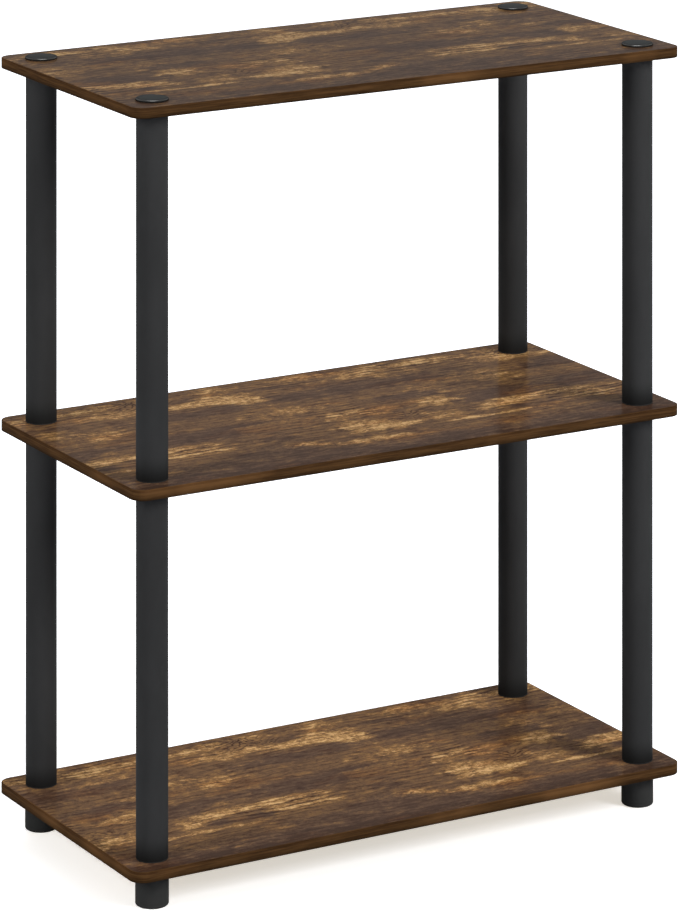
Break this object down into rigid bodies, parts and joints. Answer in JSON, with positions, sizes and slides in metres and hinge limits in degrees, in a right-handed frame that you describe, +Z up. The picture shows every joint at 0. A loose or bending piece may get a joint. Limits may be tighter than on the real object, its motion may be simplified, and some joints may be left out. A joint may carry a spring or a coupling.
{
  "type": "shelving unit",
  "caption": "Open shelving unit: thin wood-print boards clamped between round black tubes that screw together at the corners, with caps on top and short round feet.",
  "frame": {"origin": "on the floor, under the middle of the boards", "axes": "+X to the right along the width, +Y to the rear along the depth, +Z up; the front faces -Y"},
  "size_m": [0.6, 0.292, 0.7427],
  "materials": {
    "wood_panel": "satin printed laminate, rustic brown boards with golden and dark streaks along the width",
    "edge_band": "satin, dark brown wood print along the strip",
    "black_tube": "satin black, smooth",
    "black_moulding": "satin black, finely textured moulding",
    "black_cap": "satin black with a slightly polished rim"
  },
  "bodies": {
    "frame": {"bottom_board": "wood_panel", "bottom_edge_band": "edge_band", "middle_board": "wood_panel", "middle_edge_band": "edge_band", "top_board": "wood_panel", "top_edge_band": "edge_band", "lower_front_left_tube": "black_tube", "lower_front_left_socket": "black_moulding", "lower_front_left_stud": "black_moulding", "lower_front_right_tube": "black_tube", "lower_front_right_socket": "black_moulding", "lower_front_right_stud": "black_moulding", "lower_rear_left_tube": "black_tube", "lower_rear_left_socket": "black_moulding", "lower_rear_left_stud": "black_moulding", "lower_rear_right_tube": "black_tube", "lower_rear_right_socket": "black_moulding", "lower_rear_right_stud": "black_moulding", "upper_front_left_tube": "black_tube", "upper_front_left_socket": "black_moulding", "upper_front_left_stud": "black_moulding", "upper_front_right_tube": "black_tube", "upper_front_right_socket": "black_moulding", "upper_front_right_stud": "black_moulding", "upper_rear_left_tube": "black_tube", "upper_rear_left_socket": "black_moulding", "upper_rear_left_stud": "black_moulding", "upper_rear_right_tube": "black_tube", "upper_rear_right_socket": "black_moulding", "upper_rear_right_stud": "black_moulding", "front_left_foot": "black_moulding", "front_right_foot": "black_moulding", "rear_left_foot": "black_moulding", "rear_right_foot": "black_moulding"},
    "front_left_cap": {"front_left_cap": "black_cap"},
    "front_right_cap": {"front_right_cap": "black_cap"},
    "rear_left_cap": {"rear_left_cap": "black_cap"},
    "rear_right_cap": {"rear_right_cap": "black_cap"}
  },
  "joints": [
    {"name": "front_left_cap_lift", "type": "slide", "parent": "frame", "child": "front_left_cap", "axis": [0, 0, 1], "range_m": [0, 0.025]},
    {"name": "front_right_cap_lift", "type": "slide", "parent": "frame", "child": "front_right_cap", "axis": [0, 0, 1], "range_m": [0, 0.025]},
    {"name": "rear_left_cap_lift", "type": "slide", "parent": "frame", "child": "rear_left_cap", "axis": [0, 0, 1], "range_m": [0, 0.025]},
    {"name": "rear_right_cap_lift", "type": "slide", "parent": "frame", "child": "rear_right_cap", "axis": [0, 0, 1], "range_m": [0, 0.025]}
  ]
}
